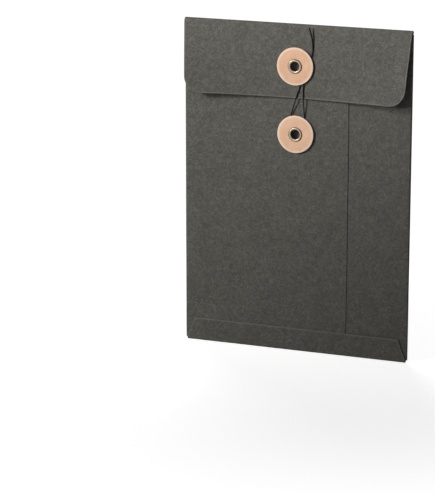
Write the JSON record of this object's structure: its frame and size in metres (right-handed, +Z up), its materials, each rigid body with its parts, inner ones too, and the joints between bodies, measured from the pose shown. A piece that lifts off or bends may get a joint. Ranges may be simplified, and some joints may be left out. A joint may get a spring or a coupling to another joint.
{
  "type": "string tie envelope",
  "caption": "Upright paper envelope with a fold-over flap, closed by a string wound between eyeleted discs on the flap and on the front.",
  "frame": {"origin": "middle of the footprint under the bottom fold, with the envelope standing upright as pictured", "axes": "+Z up along the envelope's height, +X to the viewer's right, +Y towards the back, so the flap and discs face -Y"},
  "size_m": [0.125, 0.0089, 0.176],
  "materials": {
    "paper": "matte, fine fibre",
    "glue": "dried paper glue",
    "fibre_board": "matte pressed board",
    "eyelet_metal": "satin, antique",
    "string": "waxed twist"
  },
  "bodies": {
    "envelope": {"back_panel": "paper", "left_front_panel": "paper", "right_front_panel": "paper", "left_side_fold": "paper", "right_side_fold": "paper", "bottom_fold": "paper", "bottom_flap": "paper", "top_fold": "paper", "seam_glue": "glue", "bottom_flap_glue": "glue", "body_eyelet": "eyelet_metal"},
    "flap": {"closure_flap": "paper", "flap_eyelet": "eyelet_metal", "tie_string": "string"},
    "flap_disc": {"flap_disc": "fibre_board"},
    "body_disc": {"body_disc": "fibre_board"}
  },
  "joints": [
    {"name": "flap_hinge", "type": "hinge", "parent": "envelope", "child": "flap", "pos_m": [0, 0.0026, 0.17415], "axis": [-1, 0, 0], "range_deg": [0, 175], "deforming": ["top_fold", "tie_string"]},
    {"name": "flap_disc_spin", "type": "hinge", "parent": "flap", "child": "flap_disc", "pos_m": [0, 0.00005, 0.1541], "axis": [0, -1, 0], "continuous": true},
    {"name": "body_disc_spin", "type": "hinge", "parent": "envelope", "child": "body_disc", "pos_m": [0, 0.0014, 0.118], "axis": [0, -1, 0], "continuous": true}
  ]
}
